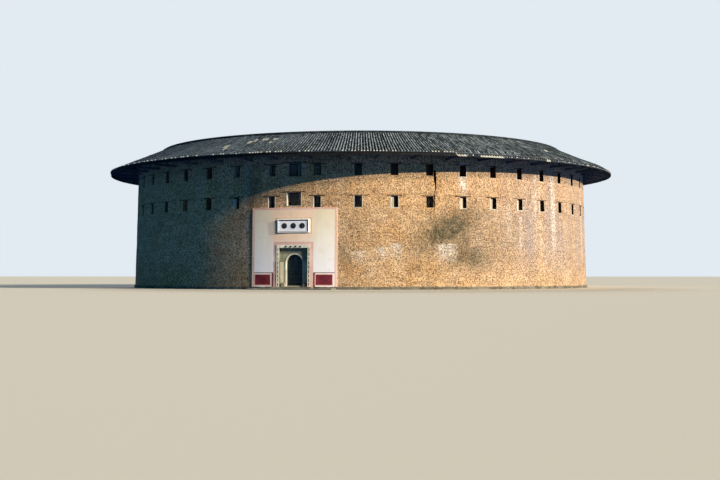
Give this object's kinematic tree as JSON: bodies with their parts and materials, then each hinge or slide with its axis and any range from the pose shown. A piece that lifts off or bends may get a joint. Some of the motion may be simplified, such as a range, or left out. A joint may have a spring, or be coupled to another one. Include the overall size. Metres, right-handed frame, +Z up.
{
  "type": "tulou roundhouse, scale model at 1:2",
  "caption": "Ring-shaped rammed-earth house of four storeys with a tiled ring roof, timber galleries round an open courtyard and a stone arched gate with two leaves.",
  "frame": {"origin": "centre of the ring at ground level", "axes": "+Z up, the gate faces -Y, +X to the right of a person who faces the gate"},
  "size_m": [31.6442, 31.68, 8.55],
  "materials": {
    "rammed_earth": "matte rammed earth",
    "rubble_stone": "matte rubble",
    "timber": "weathered fir",
    "roof_tile": "matte grey tile",
    "gate_stone": "dressed granite",
    "plaster": "limewashed plaster with red painted fields",
    "gate_wood": "dark planks"
  },
  "bodies": {
    "building": {"earth_wall_01": "rammed_earth", "earth_wall_02": "rammed_earth", "earth_wall_03": "rammed_earth", "earth_wall_04": "rammed_earth", "earth_wall_05": "rammed_earth", "earth_wall_06": "rammed_earth", "earth_wall_07": "rammed_earth", "earth_wall_08": "rammed_earth", "earth_wall_09": "rammed_earth", "earth_wall_10": "rammed_earth", "earth_wall_11": "rammed_earth", "earth_wall_over_gate": "rammed_earth", "earth_wall_gate_left": "rammed_earth", "earth_wall_gate_left_third": "rammed_earth", "earth_wall_gate_left_fourth": "rammed_earth", "earth_wall_gate_right": "rammed_earth", "earth_wall_gate_right_third": "rammed_earth", "earth_wall_gate_right_fourth": "rammed_earth", "stone_footing": "rubble_stone", "ground_floor": "rubble_stone", "second_floor": "timber", "third_floor": "timber", "fourth_floor": "timber", "second_floor_parapet": "timber", "third_floor_parapet": "timber", "fourth_floor_parapet": "timber", "gallery_gate": "timber", "gallery_01": "timber", "gallery_02": "timber", "gallery_03": "timber", "gallery_04": "timber", "gallery_05": "timber", "roof_frame_01": "timber", "roof_frame_02": "timber", "roof_frame_03": "timber", "roof_frame_04": "timber", "roof_frame_05": "timber", "wall_plate": "timber", "courtyard_eave_purlin": "timber", "roof_outer_slope": "roof_tile", "roof_courtyard_slope": "roof_tile", "ridge_cap": "roof_tile", "gate_arch": "gate_stone", "gate_surround": "gate_stone", "gate_steps": "gate_stone", "plaster_panel": "plaster", "name_board": "plaster"},
    "left_leaf": {"gate_leaf_left": "gate_wood"},
    "right_leaf": {"gate_leaf_right": "gate_wood"}
  },
  "joints": [
    {"name": "left_leaf_hinge", "type": "hinge", "parent": "building", "child": "left_leaf", "pos_m": [-0.515, -13.794, 0.2], "axis": [0, 0, 1], "range_deg": [0, 90]},
    {"name": "right_leaf_hinge", "type": "hinge", "parent": "building", "child": "right_leaf", "pos_m": [0.515, -13.794, 0.2], "axis": [0, 0, 1], "range_deg": [-90, 0]}
  ]
}
